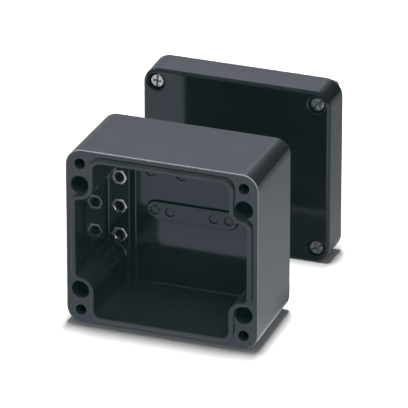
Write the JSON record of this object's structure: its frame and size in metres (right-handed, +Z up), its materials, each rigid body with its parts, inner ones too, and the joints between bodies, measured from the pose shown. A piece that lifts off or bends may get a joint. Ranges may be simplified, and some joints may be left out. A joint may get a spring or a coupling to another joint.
{
  "type": "moulded terminal housing",
  "caption": "Small rectangular moulded housing shown open: deep base with screw bosses, sealing tongue and threaded inserts, and a loose sealed lid with captive screws.",
  "frame": {"origin": "middle of the standing surface under the base and the lid as they stand one behind the other", "axes": "+Z up; +Y away from the front, from the base's open mouth towards the lid behind it; +X to the right"},
  "size_m": [0.08, 0.1095, 0.075],
  "materials": {
    "housing_black": "glossy black glass-fibre polyester moulding",
    "seal_rubber": "matt dark sealing rubber",
    "screw_steel": "plain stainless steel",
    "washer_plastic": "dark plastic",
    "insert_nickel": "nickel-plated brass"
  },
  "bodies": {
    "housing": {"base": "housing_black", "lid": "housing_black", "lid_seal": "seal_rubber", "corner_insert_1": "insert_nickel", "corner_insert_2": "insert_nickel", "corner_insert_3": "insert_nickel", "corner_insert_4": "insert_nickel", "ledge_insert_left_1": "insert_nickel", "ledge_insert_left_2": "insert_nickel", "ledge_insert_left_3": "insert_nickel", "ledge_insert_right_1": "insert_nickel", "ledge_insert_right_2": "insert_nickel", "ledge_insert_right_3": "insert_nickel"},
    "washer_1": {"retaining_washer_1": "washer_plastic"},
    "screw_1": {"lid_screw_1": "screw_steel"},
    "washer_2": {"retaining_washer_2": "washer_plastic"},
    "screw_2": {"lid_screw_2": "screw_steel"},
    "washer_3": {"retaining_washer_3": "washer_plastic"},
    "screw_3": {"lid_screw_3": "screw_steel"},
    "washer_4": {"retaining_washer_4": "washer_plastic"},
    "screw_4": {"lid_screw_4": "screw_steel"}
  },
  "joints": [
    {"name": "screw_1_draw", "type": "slide", "parent": "housing", "child": "washer_1", "axis": [0, -1, 0], "range_m": [0, 0.005]},
    {"name": "screw_1_turn", "type": "hinge", "parent": "washer_1", "child": "screw_1", "pos_m": [-0.034, 0.04625, 0.069], "axis": [0, -1, 0], "continuous": true},
    {"name": "screw_2_draw", "type": "slide", "parent": "housing", "child": "washer_2", "axis": [0, -1, 0], "range_m": [0, 0.005]},
    {"name": "screw_2_turn", "type": "hinge", "parent": "washer_2", "child": "screw_2", "pos_m": [0.034, 0.04625, 0.069], "axis": [0, -1, 0], "continuous": true},
    {"name": "screw_3_draw", "type": "slide", "parent": "housing", "child": "washer_3", "axis": [0, -1, 0], "range_m": [0, 0.005]},
    {"name": "screw_3_turn", "type": "hinge", "parent": "washer_3", "child": "screw_3", "pos_m": [-0.034, 0.04625, 0.006], "axis": [0, -1, 0], "continuous": true},
    {"name": "screw_4_draw", "type": "slide", "parent": "housing", "child": "washer_4", "axis": [0, -1, 0], "range_m": [0, 0.005]},
    {"name": "screw_4_turn", "type": "hinge", "parent": "washer_4", "child": "screw_4", "pos_m": [0.034, 0.04625, 0.006], "axis": [0, -1, 0], "continuous": true}
  ]
}
